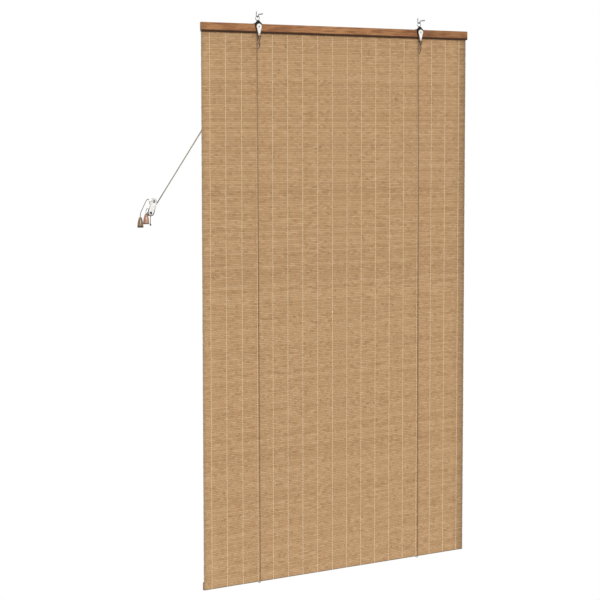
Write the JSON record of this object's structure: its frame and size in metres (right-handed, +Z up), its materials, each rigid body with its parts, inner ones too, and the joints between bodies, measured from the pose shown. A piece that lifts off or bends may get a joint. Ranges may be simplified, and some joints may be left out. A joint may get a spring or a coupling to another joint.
{
  "type": "bamboo roll-up blind",
  "caption": "Bamboo slat roll-up blind: slatted mat on a wooden head rail with wall hooks, cord pulleys, lift cords, a cleat and bell tassels.",
  "frame": {"origin": "midway between the two hook shanks, at the wall", "axes": "+X along the head rail, +Y from the wall into the room, +Z up"},
  "size_m": [1.0915, 0.0575, 1.6395],
  "materials": {
    "rail_wood": "satin",
    "batten_wood": "satin",
    "bamboo": "matte",
    "thread": "matte",
    "cord": "matte",
    "wire_steel": "satin",
    "tack_steel": "satin",
    "bright_metal": "polished",
    "dark_plate": "satin",
    "rivet_metal": "satin",
    "black_plastic": "matte",
    "sheave_plastic": "matte",
    "bead": "satin",
    "tassel_wood": "varnished"
  },
  "bodies": {
    "frame": {"head_rail": "rail_wood", "top_batten": "batten_wood", "batten_tacks": "tack_steel", "bamboo_mat": "bamboo", "warp_threads": "thread", "becket_knots": "cord", "tassel_knots": "cord", "spare_tail": "cord", "tail_knot": "cord", "cleat": "bright_metal", "screw_hook_left": "wire_steel", "screw_hook_right": "wire_steel", "screw_eye_left": "wire_steel", "screw_eye_right": "wire_steel", "eye_collar_left": "black_plastic", "eye_collar_right": "black_plastic", "hanger_plate_left": "dark_plate", "hanger_plate_right": "dark_plate", "front_cheek_left": "bright_metal", "front_cheek_right": "bright_metal", "axle_rivet_left": "rivet_metal", "axle_rivet_right": "rivet_metal", "becket_pin_left": "bead", "becket_pin_right": "bead", "cord_guide_left": "wire_steel", "cord_guide_right": "wire_steel", "lift_cord_left": "cord", "lift_cord_right": "cord", "pull_cord_left": "cord", "pull_cord_right": "cord", "tassel_left": "tassel_wood", "tassel_right": "tassel_wood"},
    "bottom_bar": {"bottom_batten": "batten_wood", "bottom_tacks": "tack_steel"},
    "left_sheave": {"sheave_left": "sheave_plastic"},
    "right_sheave": {"sheave_right": "sheave_plastic"}
  },
  "joints": [
    {"name": "lift", "type": "slide", "parent": "frame", "child": "bottom_bar", "axis": [0, 0, 1], "range_m": [0, 1.45], "deforming": ["bamboo_mat", "warp_threads", "lift_cord_left", "lift_cord_right"]},
    {"name": "left_sheave_turn", "type": "hinge", "parent": "frame", "child": "left_sheave", "pos_m": [-0.275, 0.0057, -0.034], "axis": [0, 1, 0], "continuous": true},
    {"name": "right_sheave_turn", "type": "hinge", "parent": "frame", "child": "right_sheave", "pos_m": [0.275, 0.0057, -0.034], "axis": [0, 1, 0], "continuous": true}
  ],
  "couplings": [
    {"joint": "left_sheave_turn", "follows": "lift", "rad_per_m": 400},
    {"joint": "right_sheave_turn", "follows": "lift", "rad_per_m": 400}
  ]
}
